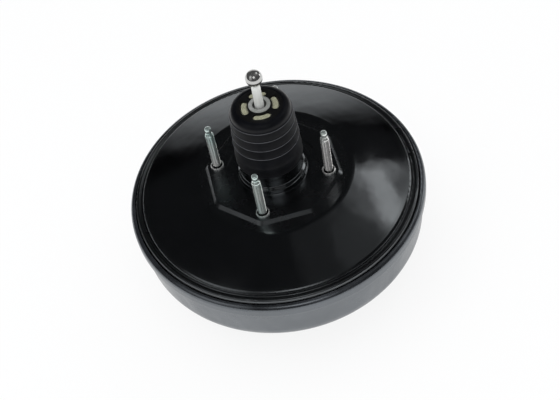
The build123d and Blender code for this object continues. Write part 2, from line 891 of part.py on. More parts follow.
# Write one file for each piece
rear_places = at_studs(stud_half, stud_half)
front_places = at_studs(cylinder_stud_spacing / 2, 0)[::2]
rear_stud = make_stud(0, 1, stud_length)
front_stud = make_stud(boss_z, -1, cylinder_stud_length)
pieces = {
    "rear_shell": make_rear_shell(),
    "front_shell": make_front_shell(),
    "rear_plate": make_rear_plate(),
    "front_plate": make_front_plate(),
    "neck_bearing": make_neck_bearing(),
    "neck_seal": make_neck_seal(),
    "seal_retainer": make_seal_retainer(),
    "dust_boot": make_dust_boot(),
    "valve_body": make_valve_body(),
    "stop_key": make_stop_key(),
    "plunger": make_plunger(),
    "input_rod": make_input_rod(),
    "spring_washer": make_spring_washer(),
    "poppet": make_poppet(),
    "poppet_sleeve": make_poppet_sleeve(),
    "poppet_spring": spring(
        poppet_wire,
        poppet_coil_r,
        poppet_coil_r,
        plunger_seat_z + poppet_face_wall + spring_gap,
        sleeve_top_z - sleeve_wall - spring_gap,
        poppet_turns,
    ),
    "rod_spring": spring(
        rod_wire,
        rod_coil_r,
        rod_coil_r,
        sleeve_top_z + spring_gap,
        washer_z - spring_gap,
        rod_turns,
    ),
    "air_filter": make_air_filter(),
    "inlet_ring": make_inlet_ring(),
    "diaphragm_plate": make_diaphragm_plate(),
    "diaphragm": make_diaphragm(),
    "return_spring": spring(
        return_wire,
        return_coil_low_r,
        return_coil_high_r,
        spring_seat_z + spring_gap,
        press_top_z - press_wall - spring_gap,
        return_turns,
    ),
    "reaction_disc": disc(reaction_r - seat_gap, reaction_z - reaction_disc_height, reaction_z),
    "output_rod": make_output_rod(),
    "rod_keeper": make_rod_keeper(),
    "front_seal": make_front_seal(),
    "check_valve_grommet": make_grommet(),
    "check_valve": make_check_valve(),
}
for number, place in enumerate(rear_places, 1):
    pieces[f"rear_stud_{number}"] = place * rear_stud
for number, place in enumerate(front_places, 1):
    pieces[f"front_stud_{number}"] = place * front_stud

for name, piece in pieces.items():
    export_step(piece, f"parts/{name}.step")
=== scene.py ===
import bpy
import bmesh
from math import atan2, cos, pi, radians, sin, tan
from random import Random
from mathutils import Matrix, Vector


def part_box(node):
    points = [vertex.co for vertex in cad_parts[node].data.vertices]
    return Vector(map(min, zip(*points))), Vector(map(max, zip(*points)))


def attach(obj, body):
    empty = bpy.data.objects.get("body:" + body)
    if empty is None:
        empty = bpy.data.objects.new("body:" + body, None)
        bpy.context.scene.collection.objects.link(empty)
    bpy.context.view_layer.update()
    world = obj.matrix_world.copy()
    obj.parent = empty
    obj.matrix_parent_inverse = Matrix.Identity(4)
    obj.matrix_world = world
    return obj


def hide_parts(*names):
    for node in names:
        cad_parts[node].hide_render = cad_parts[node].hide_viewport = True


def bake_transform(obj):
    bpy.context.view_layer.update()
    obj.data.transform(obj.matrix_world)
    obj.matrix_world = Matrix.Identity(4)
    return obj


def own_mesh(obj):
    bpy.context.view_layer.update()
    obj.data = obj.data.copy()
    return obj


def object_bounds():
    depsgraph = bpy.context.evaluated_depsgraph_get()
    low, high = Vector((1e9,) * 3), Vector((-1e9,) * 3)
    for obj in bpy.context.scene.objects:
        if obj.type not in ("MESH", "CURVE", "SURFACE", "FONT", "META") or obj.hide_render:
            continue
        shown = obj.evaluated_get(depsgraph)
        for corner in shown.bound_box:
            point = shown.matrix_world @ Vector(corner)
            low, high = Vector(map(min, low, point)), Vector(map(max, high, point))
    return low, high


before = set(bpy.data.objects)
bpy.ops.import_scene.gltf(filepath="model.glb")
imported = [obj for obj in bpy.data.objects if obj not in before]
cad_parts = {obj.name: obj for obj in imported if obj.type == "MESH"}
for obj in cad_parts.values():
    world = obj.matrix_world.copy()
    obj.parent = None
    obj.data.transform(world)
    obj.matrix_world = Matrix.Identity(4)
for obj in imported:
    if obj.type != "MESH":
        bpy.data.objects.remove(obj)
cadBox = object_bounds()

# Brake booster: a black pressed drum with its studs, boot and push rod.
# Lengths in the dictionaries are millimetres, in the frame of the CAD model.

scene = bpy.context.scene
mm = 0.001
weldGap = 2e-6  # points closer than this many metres become one
print("frame loaded:", len(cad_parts), "nodes")


# Helpers for meshes

def addMesh(name, points, faces, sharpFrom=35):
    mesh = bpy.data.meshes.new(name)
    mesh.from_pydata([(x * mm, y * mm, z * mm) for x, y, z in points], [], faces)
    work = bmesh.new()
    work.from_mesh(mesh)
    bmesh.ops.remove_doubles(work, verts=work.verts, dist=weldGap)
    bmesh.ops.dissolve_degenerate(work, edges=work.edges, dist=weldGap)
    bmesh.ops.recalc_face_normals(work, faces=work.faces)
    work.to_mesh(mesh)
    work.free()
    smoothMesh(mesh, sharpFrom)
    piece = bpy.data.objects.new(name, mesh)
    scene.collection.objects.link(piece)
    return piece


def smoothMesh(mesh, sharpFrom):
    mesh.polygons.foreach_set("use_smooth", [True] * len(mesh.polygons))
    mesh.set_sharp_from_angle(angle=radians(sharpFrom))


def turnedPiece(name, outline, steps=128, sharpFrom=35):
    # a closed (radius, height) outline swept round the main axis
    points = []
    faces = []
    count = len(outline)
    for step in range(steps):
        angle = 2 * pi * step / steps
        points += [(r * cos(angle), r * sin(angle), z) for r, z in outline]
    for step in range(steps):
        here = step * count
        there = (step + 1) % steps * count
        for i in range(count):
            j = (i + 1) % count
            faces.append((here + i, there + i, there + j, here + j))
    return addMesh(name, points, faces, sharpFrom)


def arcPoints(centreR, centreZ, radius, fromAngle, toAngle, steps):
    spread = [radians(fromAngle + (toAngle - fromAngle) * i / steps) for i in range(steps + 1)]
    return [(centreR + radius * cos(a), centreZ + radius * sin(a)) for a in spread]


def applied(piece):
    # gives the piece the mesh that its modifiers make, and takes them off
    bpy.context.view_layer.update()
    graph = bpy.context.evaluated_depsgraph_get()
    finished = bpy.data.meshes.new_from_object(piece.evaluated_get(graph))
    piece.modifiers.clear()
    piece.data = finished


# Helpers for materials

def addNode(tree, kind, **values):
    node = tree.nodes.new(kind)
    for key, value in values.items():
        if hasattr(node, key):
            setattr(node, key, value)
        else:
            node.inputs[key.replace("_", " ")].default_value = value
    return node


def mathNode(tree, operation, first, second=None):
    node = addNode(tree, "ShaderNodeMath", operation=operation)
    for socket, value in zip(node.inputs, (first, second)):
        if value is None:
            continue
        if isinstance(value, (int, float)):
            socket.default_value = value
        else:
            tree.links.new(value, socket)
    return node.outputs[0]


def placeCoords(tree, stretch=(1, 1, 1)):
    coords = addNode(tree, "ShaderNodeTexCoord")
    mapping = addNode(tree, "ShaderNodeMapping")
    mapping.inputs["Scale"].default_value = stretch
    tree.links.new(coords.outputs["Object"], mapping.inputs["Vector"])
    return mapping.outputs["Vector"]


def noiseNode(tree, scale, detail=3.0, rough=0.5, stretch=(1, 1, 1)):
    noise = addNode(tree, "ShaderNodeTexNoise", Scale=scale, Detail=detail, Roughness=rough)
    tree.links.new(placeCoords(tree, stretch), noise.inputs["Vector"])
    return noise.outputs["Fac"]


def spreadOver(tree, value, low, high, fromLow=0.3, fromHigh=0.7):
    node = addNode(tree, "ShaderNodeMapRange")
    limits = {"From Min": fromLow, "From Max": fromHigh, "To Min": low, "To Max": high}
    for name, number in limits.items():
        node.inputs[name].default_value = number
    tree.links.new(value, node.inputs["Value"])
    return node.outputs["Result"]


def blendColours(tree, factor, first, second):
    node = addNode(tree, "ShaderNodeMix", data_type="RGBA")
    tree.links.new(factor, node.inputs["Factor"])
    for socket, colour in ((node.inputs[6], first), (node.inputs[7], second)):
        if isinstance(colour, (tuple, list)):
            socket.default_value = (*colour, 1)
        else:
            tree.links.new(colour, socket)
    return node.outputs[2]


def axisPlace(tree):
    # distance from the main axis and height along it, in metres
    split = addNode(tree, "ShaderNodeSeparateXYZ")
    tree.links.new(placeCoords(tree), split.inputs[0])
    across = mathNode(tree, "POWER", split.outputs["X"], 2)
    along = mathNode(tree, "POWER", split.outputs["Y"], 2)
    return mathNode(tree, "SQRT", mathNode(tree, "ADD", across, along)), split.outputs["Z"]


def addBumps(tree, shader, bumps, calm=None):
    # each bump is (scale per metre, height in mm, detail, stretch); calm is (axis, starts,
    # ends) in mm along radius or height, past which little of the bumps is left
    calmShare = 0.05
    last = None
    for scale, tall, detail, stretch in bumps:
        bump = addNode(tree, "ShaderNodeBump", Strength=1.0, Distance=tall * mm)
        if calm:
            axis, starts, ends = calm
            radius, height = axisPlace(tree)
            along = height if axis == "height" else radius
            strength = spreadOver(tree, along, 1, calmShare, starts * mm, ends * mm)
            tree.links.new(strength, bump.inputs["Strength"])
        tree.links.new(noiseNode(tree, scale, detail, 0.5, stretch), bump.inputs["Height"])
        if last:
            tree.links.new(last, bump.inputs["Normal"])
        last = bump.outputs["Normal"]
    if last:
        tree.links.new(last, shader.inputs["Normal"])


def finish(name, look):
    # a Principled material whose colour, roughness and surface vary by noise
    material = bpy.data.materials.new(name)
    material.use_nodes = True
    tree = material.node_tree
    shader = tree.nodes["Principled BSDF"]
    for socket, value in look.get("sockets", {}).items():
        shader.inputs[socket].default_value = value
    stretch = look.get("stretch", (1, 1, 1))
    colourNoise = noiseNode(tree, look["colourScale"], 4.0, 0.6, stretch)
    colour = blendColours(tree, spreadOver(tree, colourNoise, 0, 1), look["dark"], look["light"])
    tree.links.new(colour, shader.inputs["Base Color"])
    roughNoise = noiseNode(tree, look["roughScale"], 3.0, 0.55, stretch)
    rough = spreadOver(tree, roughNoise, *look["rough"])
    for extra, start, full, last, end in look.get("roughRings", []):
        radius, _ = axisPlace(tree)
        rising = spreadOver(tree, radius, 0, extra, start * mm, full * mm)
        falling = spreadOver(tree, radius, 1, 0, last * mm, end * mm)
        rough = mathNode(tree, "ADD", rough, mathNode(tree, "MULTIPLY", rising, falling))
    tree.links.new(rough, shader.inputs["Roughness"])
    addBumps(tree, shader, look.get("bumps", []), look.get("calm"))
    return material


def paint(piece, material):
    piece.data.materials.clear()
    piece.data.materials.append(material)


# Camera at the photograph's viewing angle, in degrees and millimetres
cameraView = {
    "lens": 70.39,
    "elevation": 50.575,
    "turn": -26.53,
    "roll": -11.835,
    "distance": 1034.1,
    "aside": 4.18,
    "above": -17.05,
    "aimZ": -20.6,
}


def addCamera(view):
    tilt = radians(view["elevation"])
    spin = radians(view["roll"])
    turn = Matrix.Rotation(radians(view["turn"]), 3, "Z")
    level = Vector((1, 0, 0))
    back = Vector((0, -cos(tilt), sin(tilt)))
    upright = back.cross(level)
    aside = turn @ (level * cos(spin) + upright * sin(spin))
    above = turn @ (upright * cos(spin) - level * sin(spin))
    back = turn @ back
    spot = back * view["distance"] + aside * view["aside"] + above * view["above"]
    spot.z += view["aimZ"]
    data = bpy.data.cameras.new("camera")
    data.lens = view["lens"]
    data.sensor_width = 36
    data.clip_end = 50
    camera = bpy.data.objects.new("camera", data)
    axes = Matrix((aside, above, back)).transposed().to_4x4()
    camera.matrix_world = Matrix.Translation(spot * mm) @ axes
    scene.collection.objects.link(camera)
    scene.camera = camera


addCamera(cameraView)
print("camera placed")


# Pale floor, low backdrop and soft lights, in metres and degrees
studio = {
    "floorSize": 14.0,
    "floorGap": 0.0004,
    "floorColour": (0.90, 0.905, 0.91),
    "floorGlow": 0.86,
    "toneScale": 1.5,
    "toneShare": 0.985,
    "skyColour": (0.97, 0.985, 1, 1),
    "skyDiffuse": 0.72,
    "mirrorSkyColour": (0.9, 0.95, 1, 1),
    "skyGlossy": 0.02,
    "backHeading": 63.47,
    "backDistance": 2.4,
    "backWidth": 3.4,
    "backHeight": 1.5,
    "backCurve": 0.35,
    "backSteps": 12,
    "backFoot": 0.4,
    "backLift": 0.0008,
    "fadeUp": (0.15, 1.30),
    "fadeAside": (0.50, 1.35),
    "fadeMiddle": -0.15,
}

# heading is clockwise from the backdrop's middle and rise is above the floor; a strip is
# long along a line that leans by its tilt
lamps = {
    "rightStrip": {
        "heading": 58, "rise": 47.5, "away": 1.5, "size": 0.18, "glow": 1.05,
        "long": 0.57, "tilt": 25,
    },
    "rightLow": {"heading": 47, "rise": 38.5, "away": 1.5, "size": 0.20, "glow": 0.45},
    "rightHalo": {"heading": 60, "rise": 45, "away": 1.5, "size": 0.80, "glow": 0.26},
    "rightTop": {"heading": 84, "rise": 61, "away": 1.5, "size": 0.70, "glow": 0.07},
    "rightWide": {"heading": 88, "rise": 66, "away": 1.5, "size": 1.25, "glow": 0.04},
    "rightEdge": {"heading": 72, "rise": 12, "away": 1.5, "size": 0.50, "glow": 1.6},
    "leftLow": {"heading": -125, "rise": 30, "away": 1.6, "size": 1.10, "glow": 0.28},
    "frontLow": {"heading": 165, "rise": 37, "away": 1.6, "size": 0.55, "glow": 0.10},
    "leftBox": {"heading": -112, "rise": 50, "away": 1.6, "size": 0.90, "glow": 0.5},
    "frontBox": {"heading": 180, "rise": 55, "away": 1.6, "size": 0.75, "glow": 1.1},
    "overhead": {
        "heading": -120, "rise": 78, "away": 2.0, "size": 2.0, "glow": 1.6, "mirrored": False,
    },
}


def paleMaterial(name, colour, glow, fade=None):
    # lit by the lamps, with a glow of white for camera, mirror and glass rays only;
    # fade makes it darker in mirrors towards its top and its ends
    material = bpy.data.materials.new(name)
    material.use_nodes = True
    tree = material.node_tree
    tree.nodes.remove(tree.nodes["Principled BSDF"])
    path = addNode(tree, "ShaderNodeLightPath")
    mirrored = path.outputs["Is Glossy Ray"]
    tone = noiseNode(tree, studio["toneScale"], 2.0)
    shade = blendColours(tree, tone, colour, tuple(c * studio["toneShare"] for c in colour))
    if fade:
        strength = fade(tree)
        loss = mathNode(tree, "MULTIPLY", mirrored, mathNode(tree, "SUBTRACT", 1, strength))
        shade = blendColours(tree, loss, shade, (0, 0, 0))
        mirrored = mathNode(tree, "MULTIPLY", mirrored, strength)
    lit = addNode(tree, "ShaderNodeBsdfDiffuse")
    tree.links.new(shade, lit.inputs["Color"])
    white = addNode(tree, "ShaderNodeEmission", Strength=1.0)
    seen = mathNode(tree, "MAXIMUM", path.outputs["Is Camera Ray"], mirrored)
    seen = mathNode(tree, "MAXIMUM", seen, path.outputs["Is Transmission Ray"])
    mixer = addNode(tree, "ShaderNodeMixShader")
    tree.links.new(mathNode(tree, "MULTIPLY", seen, glow), mixer.inputs["Fac"])
    tree.links.new(lit.outputs[0], mixer.inputs[1])
    tree.links.new(white.outputs[0], mixer.inputs[2])
    tree.links.new(mixer.outputs[0], tree.nodes["Material Output"].inputs["Surface"])
    return material


def addFloor(facts):
    low = cadBox[0][2] - facts["floorGap"]
    half = facts["floorSize"] / 2
    corners = [(-half, -half), (half, -half), (half, half), (-half, half)]
    mesh = bpy.data.meshes.new("floor")
    mesh.from_pydata([(x, y, low) for x, y in corners], [], [(0, 1, 2, 3)])
    floor = bpy.data.objects.new("floor", mesh)
    scene.collection.objects.link(floor)
    paint(floor, paleMaterial("paleFloor", facts["floorColour"], facts["floorGlow"]))
    return low


def addBackdrop(facts, low):
    # a low curved sheet behind the object, seen from the camera
    curve = facts["backCurve"]
    lift = facts["backLift"]
    profile = [(-facts["backFoot"], lift)]
    for step in range(facts["backSteps"] + 1):
        angle = radians(-90 + step * 90 / facts["backSteps"])
        profile.append((curve * cos(angle), curve + lift + curve * sin(angle)))
    profile.append((curve, facts["backHeight"]))
    heading = radians(facts["backHeading"])
    out = Vector((cos(heading), sin(heading), 0))
    side = Vector((-sin(heading), cos(heading), 0)) * facts["backWidth"] / 2
    points = []
    for depth, height in profile:
        middle = out * (facts["backDistance"] - curve + depth) + Vector((0, 0, low + height))
        points += [middle - side, middle + side]
    faces = [(i, i + 1, i + 3, i + 2) for i in range(0, len(points) - 2, 2)]
    mesh = bpy.data.meshes.new("backdrop")
    mesh.from_pydata(points, [], faces)
    smoothMesh(mesh, 60)
    backdrop = bpy.data.objects.new("backdrop", mesh)
    scene.collection.objects.link(backdrop)

    def fade(tree):
        # full at the foot and the middle, nothing at the top and the ends
        coords = placeCoords(tree)
        split = addNode(tree, "ShaderNodeSeparateXYZ")
        tree.links.new(coords, split.inputs[0])
        lowest, highest = facts["fadeUp"]
        up = spreadOver(tree, split.outputs["Z"], 1, 0, low + lowest, low + highest)
        along = addNode(tree, "ShaderNodeVectorMath", operation="DOT_PRODUCT")
        tree.links.new(coords, along.inputs[0])
        along.inputs[1].default_value = side.normalized()
        aside = mathNode(tree, "SUBTRACT", along.outputs["Value"], facts["fadeMiddle"])
        aside = mathNode(tree, "ABSOLUTE", aside)
        near = spreadOver(tree, aside, 1, 0, *facts["fadeAside"])
        return mathNode(tree, "MULTIPLY", up, near)

    material = paleMaterial("paleBackdrop", facts["floorColour"], facts["floorGlow"], fade)
    paint(backdrop, material)


def wayTo(heading, rise):
    heading = radians(studio["backHeading"] - heading)
    rise = radians(rise)
    return Vector((cos(rise) * cos(heading), cos(rise) * sin(heading), sin(rise)))


def addLamp(name, facts):
    heading, rise = facts["heading"], facts["rise"]
    long = facts.get("long", facts["size"])
    tilt = radians(facts.get("tilt", 0))
    way = wayTo(heading, rise)
    level = (wayTo(heading + 1, rise) - wayTo(heading - 1, rise)).normalized()
    along = level * cos(tilt) + (wayTo(heading, rise + 1) - way).normalized() * sin(tilt)
    across = way.cross(along).normalized()
    data = bpy.data.lights.new(name, "AREA")
    data.shape = "ELLIPSE" if long == facts["size"] else "RECTANGLE"
    data.size = long
    data.size_y = facts["size"]
    area = long * facts["size"] * (pi / 4 if data.shape == "ELLIPSE" else 1)
    data.energy = facts["glow"] * pi * area
    lamp = bpy.data.objects.new(name, data)
    axes = Matrix((across.cross(way), across, way)).transposed().to_4x4()
    lamp.matrix_world = Matrix.Translation(way * facts["away"]) @ axes
    lamp.visible_glossy = facts.get("mirrored", True)
    lamp.visible_camera = False
    scene.collection.objects.link(lamp)


def setWorld(facts):
    world = bpy.data.worlds.new("studioWorld")
    scene.world = world
    world.use_nodes = True
    tree = world.node_tree
    soft = tree.nodes["Background"]
    soft.inputs["Color"].default_value = facts["skyColour"]
    soft.inputs["Strength"].default_value = facts["skyDiffuse"]
    dim = addNode(tree, "ShaderNodeBackground", Color=facts["mirrorSkyColour"])
    dim.inputs["Strength"].default_value = facts["skyGlossy"]
    white = addNode(tree, "ShaderNodeBackground", Color=(1, 1, 1, 1), Strength=1.0)
    path = addNode(tree, "ShaderNodeLightPath")
    forGloss = addNode(tree, "ShaderNodeMixShader")
    tree.links.new(path.outputs["Is Glossy Ray"], forGloss.inputs["Fac"])
    tree.links.new(soft.outputs[0], forGloss.inputs[1])
    tree.links.new(dim.outputs[0], forGloss.inputs[2])
    forCamera = addNode(tree, "ShaderNodeMixShader")
    clear = path.outputs["Is Transmission Ray"]
    seen = mathNode(tree, "MAXIMUM", path.outputs["Is Camera Ray"], clear)
    tree.links.new(seen, forCamera.inputs["Fac"])
    tree.links.new(forGloss.outputs[0], forCamera.inputs[1])
    tree.links.new(white.outputs[0], forCamera.inputs[2])
    tree.links.new(forCamera.outputs[0], tree.nodes["World Output"].inputs["Surface"])


scene.view_settings.view_transform = "Standard"
floorHeight = addFloor(studio)
addBackdrop(studio, floorHeight)
for lampName, lampFacts in lamps.items():
    addLamp(lampName, lampFacts)
setWorld(studio)
print("studio set")


# Finishes, each between a dark and a light colour; scales are per metre. A rough ring is
# (extra roughness, starts, full, ends to fade, gone), the places as radii in millimetres
looks = {
    "blackShell": {
        "dark": (0.0010, 0.0010, 0.0012),
        "light": (0.0022, 0.0022, 0.0026),
        "colourScale": 60,
        "rough": (0.10, 0.17),
        "roughScale": 45,
        "bumps": [(30, 0.50, 2.2, (1, 1, 1)), (700, 0.004, 2.0, (1, 1, 1))],
        "calm": ("radius", 112, 124),
        "roughRings": [(0.13, 33, 37, 68, 76), (0.16, 122, 129, 200, 201)],
        "sockets": {"IOR": 2.3, "Specular Tint": (0.90, 0.96, 1.0, 1)},
    },
    "blackDrum": {
        "dark": (0.0016, 0.0016, 0.0019),
        "light": (0.030, 0.032, 0.037),
        "colourScale": 22,
        "rough": (0.20, 0.30),
        "roughScale": 45,
        "bumps": [(30, 2.6, 2.5, (1, 1, 0.6)), (700, 0.004, 2.0, (1, 1, 1))],
        "calm": ("height", -44, -36),
        "sockets": {"IOR": 2.35, "Specular Tint": (0.86, 0.93, 1.0, 1)},
    },
    "platedSheet": {
        "dark": (0.36, 0.38, 0.38),
        "light": (0.50, 0.52, 0.51),
        "colourScale": 120,
        "rough": (0.28, 0.42),
        "roughScale": 300,
        "bumps": [(1500, 0.006, 2.0, (1, 1, 1))],
        "sockets": {"Metallic": 0.9},
    },
    "turnedSteel": {
        "dark": (0.44, 0.45, 0.46),
        "light": (0.60, 0.61, 0.62),
        "colourScale": 400,
        "rough": (0.22, 0.34),
        "roughScale": 500,
        "stretch": (0.1, 0.1, 6),
        "bumps": [(900, 0.006, 2.0, (0.1, 0.1, 5))],
        "sockets": {"Metallic": 1.0},
    },
    "springSteel": {
        "dark": (0.20, 0.21, 0.22),
        "light": (0.34, 0.35, 0.37),
        "colourScale": 300,
        "rough": (0.30, 0.45),
        "roughScale": 500,
        "bumps": [(1200, 0.005, 2.0, (1, 1, 1))],
        "sockets": {"Metallic": 1.0},
    },
    "blackRubber": {
        "dark": (0.010, 0.010, 0.011),
        "light": (0.020, 0.020, 0.021),
        "colourScale": 200,
        "rough": (0.50, 0.66),
        "roughScale": 260,
        "bumps": [(900, 0.03, 3.0, (1, 1, 1))],
        "sockets": {"Specular IOR Level": 0.4},
    },
    "phenolicBrown": {
        "dark": (0.030, 0.020, 0.014),
        "light": (0.060, 0.042, 0.028),
        "colourScale": 350,
        "rough": (0.38, 0.55),
        "roughScale": 200,
        "bumps": [(700, 0.02, 3.0, (1, 1, 1))],
    },
    "naturalNylon": {
        "dark": (0.55, 0.52, 0.45),
        "light": (0.66, 0.64, 0.57),
        "colourScale": 120,
        "rough": (0.35, 0.5),
        "roughScale": 150,
        "bumps": [(600, 0.01, 2.0, (1, 1, 1))],
        "sockets": {"Subsurface Weight": 0.1, "Subsurface Scale": 0.002},
    },
    "paleRing": {
        "dark": (0.205, 0.215, 0.20),
        "light": (0.32, 0.32, 0.315),
        "colourScale": 260,
        "rough": (0.30, 0.42),
        "roughScale": 250,
        "bumps": [(800, 0.01, 2.0, (1, 1, 1))],
    },
    "valvePlastic": {
        "dark": (0.008, 0.008, 0.008),
        "light": (0.016, 0.016, 0.017),
        "colourScale": 150,
        "rough": (0.22, 0.36),
        "roughScale": 220,
        "bumps": [(1000, 0.01, 2.0, (1, 1, 1))],
    },
}
finishes = {name: finish(name, look) for name, look in looks.items()}


# Zinc plate: a passivated metal whose tint drifts from teal to warm grey
zincLook = {
    "teal": (0.50, 0.66, 0.64),
    "grey": (0.86, 0.88, 0.84),
    "warm": (0.78, 0.76, 0.75),
    "colourScale": 22,
    "driftScale": 14,
    "driftFrom": 0.45,
    "driftTo": 0.6,
    "rough": (0.14, 0.25),
    "metal": 0.82,
}


def zincFinish(look):
    material = finish("zincPlate", {
        "dark": look["teal"], "light": look["grey"], "colourScale": look["colourScale"],
        "rough": look["rough"], "roughScale": 200,
        "bumps": [(900, 0.004, 2.0, (1, 1, 1))],
        "sockets": {"Metallic": look["metal"]},
    })
    tree = material.node_tree
    shader = tree.nodes["Principled BSDF"]
    base = shader.inputs["Base Color"].links[0].from_socket
    patches = noiseNode(tree, look["driftScale"], 1.0)
    drift = spreadOver(tree, patches, 0, 1, look["driftFrom"], look["driftTo"])
    tree.links.new(blendColours(tree, drift, base, look["warm"]), shader.inputs["Base Color"])
    return material


finishes["zincPlate"] = zincFinish(zincLook)


# Push rod: satin shank, polished ball
rodLook = {
    "shank": (0.88, 0.89, 0.86),
    "ball": (0.56, 0.56, 0.55),
    "ballFrom": 110.4,
    "shankDark": 0.88,
    "shankRough": (0.34, 0.42),
    "ballRough": 0.11,
    "shankMetal": 0.30,
    "ballMetal": 0.92,
}


def rodFinish(look):
    material = finish("rodSteel", {
        "dark": tuple(c * look["shankDark"] for c in look["shank"]), "light": look["shank"],
        "colourScale": 500, "stretch": (1, 1, 0.15),
        "rough": look["shankRough"], "roughScale": 700,
        "bumps": [(1400, 0.004, 2.0, (1, 1, 0.2))],
    })
    tree = material.node_tree
    shader = tree.nodes["Principled BSDF"]
    _, height = axisPlace(tree)
    onBall = mathNode(tree, "GREATER_THAN", height, look["ballFrom"] * mm)
    base = shader.inputs["Base Color"].links[0].from_socket
    tree.links.new(blendColours(tree, onBall, base, look["ball"]), shader.inputs["Base Color"])
    rough = shader.inputs["Roughness"].links[0].from_socket
    mixed = addNode(tree, "ShaderNodeMix", data_type="FLOAT")
    tree.links.new(onBall, mixed.inputs["Factor"])
    tree.links.new(rough, mixed.inputs[2])
    mixed.inputs[3].default_value = look["ballRough"]
    tree.links.new(mixed.outputs[0], shader.inputs["Roughness"])
    metal = spreadOver(tree, onBall, look["shankMetal"], look["ballMetal"], 0, 1)
    tree.links.new(metal, shader.inputs["Metallic"])
    return material


finishes["rodSteel"] = rodFinish(rodLook)


# Boot rubber: satin, neutral black on the flat top disc, and a lighter grey on the ridge crests
# that is a painted highlight
bootRubberLook = {
    "dark": (0.0015, 0.0018, 0.0030),
    "light": (0.0031, 0.0036, 0.0058),
    # crest: lighter grey on the ridge crests, a painted highlight for the light they catch
    "crest": (0.090, 0.093, 0.104),
    "crestHighlightDark": 0.6,
    "disc": (0.0040, 0.0040, 0.0042),
    "discR": 20.7,
    "discFrom": 82.6,
    "rough": (0.34, 0.45),
}


def bootRubberFinish(look):
    material = finish("bootRubber", {
        "dark": look["dark"], "light": look["light"], "colourScale": 90,
        "rough": look["rough"], "roughScale": 200,
        "bumps": [(260, 0.05, 2.0, (1, 1, 1)), (1500, 0.012, 2.0, (1, 1, 1))],
        "sockets": {"Sheen Weight": 0.05, "Sheen Roughness": 0.4, "IOR": 1.3},
    })
    tree = material.node_tree
    shader = tree.nodes["Principled BSDF"]
    radius, height = axisPlace(tree)
    inside = mathNode(tree, "LESS_THAN", radius, look["discR"] * mm)
    high = mathNode(tree, "GREATER_THAN", height, look["discFrom"] * mm)
    onDisc = mathNode(tree, "MULTIPLY", inside, high)
    base = shader.inputs["Base Color"].links[0].from_socket
    tree.links.new(blendColours(tree, onDisc, base, look["disc"]), shader.inputs["Base Color"])
    return material


finishes["bootRubber"] = bootRubberFinish(bootRubberLook)
# Ridge crest finish: a lighter grey that is a painted highlight, not wear
finishes["bootCrestPaintedHighlight"] = finish("bootCrestPaintedHighlight", {
    "dark": tuple(c * bootRubberLook["crestHighlightDark"] for c in bootRubberLook["crest"]),
    "light": bootRubberLook["crest"],
    "colourScale": 120, "rough": (0.30, 0.42), "roughScale": 200,
    "bumps": [(1500, 0.012, 2.0, (1, 1, 1))],
})


# Felt: tangled tan fibres
finishes["filterFelt"] = finish("filterFelt", {
    "dark": (0.20, 0.20, 0.135), "light": (0.37, 0.365, 0.26), "colourScale": 900,
    "rough": (0.85, 1.0), "roughScale": 600,
    "bumps": [(700, 0.25, 4.0, (1, 1, 1)), (2600, 0.08, 2.0, (1, 0.3, 1))],
    "sockets": {"Sheen Weight": 0.15, "Sheen Roughness": 0.6, "Specular IOR Level": 0.2},
})

# The CAD nodes' finishes; the studs, which aren't listed, are zinc plated
finishOf = {
    "rear_shell": "blackShell", "front_shell": "blackDrum",
    "rear_plate": "platedSheet", "front_plate": "platedSheet",
    "neck_bearing": "naturalNylon", "neck_seal": "blackRubber", "seal_retainer": "platedSheet",
    "dust_boot": "bootRubber", "valve_body": "phenolicBrown", "stop_key": "turnedSteel",
    "plunger": "turnedSteel", "input_rod": "rodSteel", "spring_washer": "platedSheet",
    "poppet": "blackRubber", "poppet_sleeve": "platedSheet", "poppet_spring": "springSteel",
    "rod_spring": "springSteel", "air_filter": "filterFelt", "inlet_ring": "paleRing",
    "diaphragm_plate": "platedSheet", "diaphragm": "blackRubber", "return_spring": "springSteel",
    "reaction_disc": "blackRubber", "output_rod": "turnedSteel", "rod_keeper": "platedSheet",
    "front_seal": "blackRubber", "check_valve_grommet": "blackRubber",
    "check_valve": "valvePlastic",
}
for nodeName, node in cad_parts.items():
    paint(node, finishes[finishOf.get(nodeName, "zincPlate")])
print("finishes on the CAD nodes")


# Dust boot: grip band, rolled ridges, round shoulder, top disc with kidney windows
boot = {
    "baseZ": 21.5,
    "topZ": 85.0,
    "lip": [
        (29.3, 21.5), (30.5, 21.5), (30.95, 21.7), (31.05, 22.3), (31.05, 23.0), (30.85, 23.5),
        (30.85, 24.6),
    ],
    "band": [(31.0, 26.0), (31.0, 31.5), (30.9, 33.0), (30.7, 34.2)],
    "bandTop": 35.5,
    "bandInside": (29.3, 30.0),
    "bodyInsideLow": 37.5,
    "bodyR": 30.45,
    "topR": 27.2,
    "shoulder": 6.0,
    "wall": 1.8,
    "topWall": 2.0,
    "ridges": (46.0, 56.5, 67.0, 77.0),
    "ridgeHigh": 0.7,
    "ridgeHalf": 0.75,
    "ridgeSteps": 8,
    "ridgeSharp": 1.5,
    # half height of the band round each ridge that gets the painted highlight
    "crestHighlightHalf": 0.42,
    "hollow": 0.12,
    "boreR": 8.9,
    "boreEdge": 0.3,
    "discGroove": [(21.0, 0), (20.8, 0.35), (20.5, 0.35), (20.3, 0.1), (12.0, 0.1)],
    "discDepth": 0.1,
    "insideRound": 3.0,
    "windowR": 14.3,
    "windowWide": 6.6,
    "windowSpan": 41.0,
    "windowTurn": -26.5,
    "windowEdge": 0.22,
    "windowSteps": 16,
    "windowEndSteps": 10,
    "stroke": 38.0,
}


